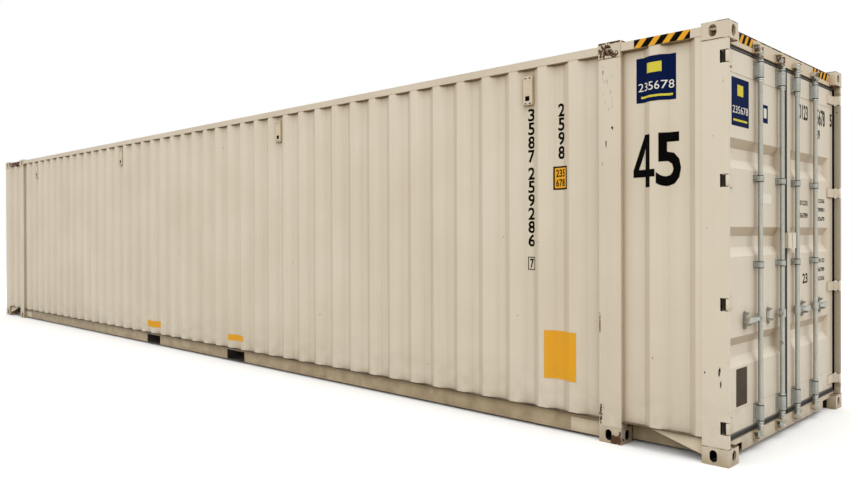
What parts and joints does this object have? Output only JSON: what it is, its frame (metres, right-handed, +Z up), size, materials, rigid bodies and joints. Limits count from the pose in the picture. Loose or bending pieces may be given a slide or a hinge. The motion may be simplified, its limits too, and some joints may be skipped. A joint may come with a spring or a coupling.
{
  "type": "high-cube shipping container",
  "caption": "Long corrugated steel shipping container with hinged cargo doors, locking bars that turn, drop handles, corner fittings at both lifting spacings and forklift pockets.",
  "frame": {"origin": "middle of the base, level with the undersides of the bottom corner fittings", "axes": "+X out of the door end along the length, +Y to the right as seen from the doors' outside, +Z up"},
  "size_m": [13.716, 2.438, 2.896],
  "materials": {
    "painted_steel": "satin, weathered",
    "cast_steel": "satin, chipped to rust",
    "galvanised_steel": "dull zinc",
    "rubber_seal": "matte",
    "plywood": "worn",
    "moulded_plastic": "matte"
  },
  "bodies": {
    "frame": {"corner_fittings": "cast_steel", "forty_foot_fittings": "cast_steel", "rear_corner_posts": "painted_steel", "front_corner_posts": "painted_steel", "forty_foot_posts": "painted_steel", "right_side_wall": "painted_steel", "left_side_wall": "painted_steel", "front_wall": "painted_steel", "roof": "painted_steel", "bottom_side_rails": "painted_steel", "top_side_rails": "painted_steel", "fork_pockets": "painted_steel", "cross_members": "painted_steel", "forty_foot_beams": "painted_steel", "floor": "plywood", "front_header": "painted_steel", "front_sill": "painted_steel", "door_header": "painted_steel", "door_sill": "painted_steel", "cam_keepers": "galvanised_steel", "hinge_pins": "galvanised_steel", "vents": "moulded_plastic", "gussets": "painted_steel"},
    "left_door": {"left_door_frame": "painted_steel", "left_door_panel": "painted_steel", "left_door_gasket": "rubber_seal", "left_hinge_leaves": "painted_steel", "left_bar_brackets": "galvanised_steel", "left_handle_catches": "galvanised_steel", "left_lock_box": "painted_steel"},
    "right_door": {"right_door_frame": "painted_steel", "right_door_panel": "painted_steel", "right_door_gasket": "rubber_seal", "right_hinge_leaves": "painted_steel", "right_bar_brackets": "galvanised_steel", "right_handle_catches": "galvanised_steel", "right_lock_box": "painted_steel"},
    "bar_1": {"locking_bar_1": "galvanised_steel"},
    "handle_1": {"handle_1": "galvanised_steel"},
    "bar_2": {"locking_bar_2": "galvanised_steel"},
    "handle_2": {"handle_2": "galvanised_steel"},
    "bar_3": {"locking_bar_3": "galvanised_steel"},
    "handle_3": {"handle_3": "galvanised_steel"},
    "bar_4": {"locking_bar_4": "galvanised_steel"},
    "handle_4": {"handle_4": "galvanised_steel"}
  },
  "joints": [
    {"name": "left_door_hinge", "type": "hinge", "parent": "frame", "child": "left_door", "pos_m": [6.838, -1.198, 1.473], "axis": [0, 0, -1], "range_deg": [0, 250]},
    {"name": "right_door_hinge", "type": "hinge", "parent": "frame", "child": "right_door", "pos_m": [6.838, 1.198, 1.473], "axis": [0, 0, 1], "range_deg": [0, 250]},
    {"name": "bar_1_turn", "type": "hinge", "parent": "left_door", "child": "bar_1", "pos_m": [6.833, -0.5995, 1.455], "axis": [0, 0, -1], "range_deg": [-100, 0]},
    {"name": "bar_2_turn", "type": "hinge", "parent": "left_door", "child": "bar_2", "pos_m": [6.833, -0.1655, 1.455], "axis": [0, 0, -1], "range_deg": [-100, 0]},
    {"name": "bar_3_turn", "type": "hinge", "parent": "right_door", "child": "bar_3", "pos_m": [6.833, 0.1655, 1.455], "axis": [0, 0, 1], "range_deg": [-100, 0]},
    {"name": "bar_4_turn", "type": "hinge", "parent": "right_door", "child": "bar_4", "pos_m": [6.833, 0.5995, 1.455], "axis": [0, 0, 1], "range_deg": [-100, 0]},
    {"name": "handle_1_lift", "type": "hinge", "parent": "bar_1", "child": "handle_1", "pos_m": [6.833, -0.6415, 0.921], "axis": [-1, 0, 0], "range_deg": [0, 25]},
    {"name": "handle_2_lift", "type": "hinge", "parent": "bar_2", "child": "handle_2", "pos_m": [6.833, -0.2075, 0.921], "axis": [-1, 0, 0], "range_deg": [0, 65]},
    {"name": "handle_3_lift", "type": "hinge", "parent": "bar_3", "child": "handle_3", "pos_m": [6.833, 0.2075, 0.921], "axis": [1, 0, 0], "range_deg": [0, 25]},
    {"name": "handle_4_lift", "type": "hinge", "parent": "bar_4", "child": "handle_4", "pos_m": [6.833, 0.6415, 0.921], "axis": [1, 0, 0], "range_deg": [0, 25]}
  ]
}
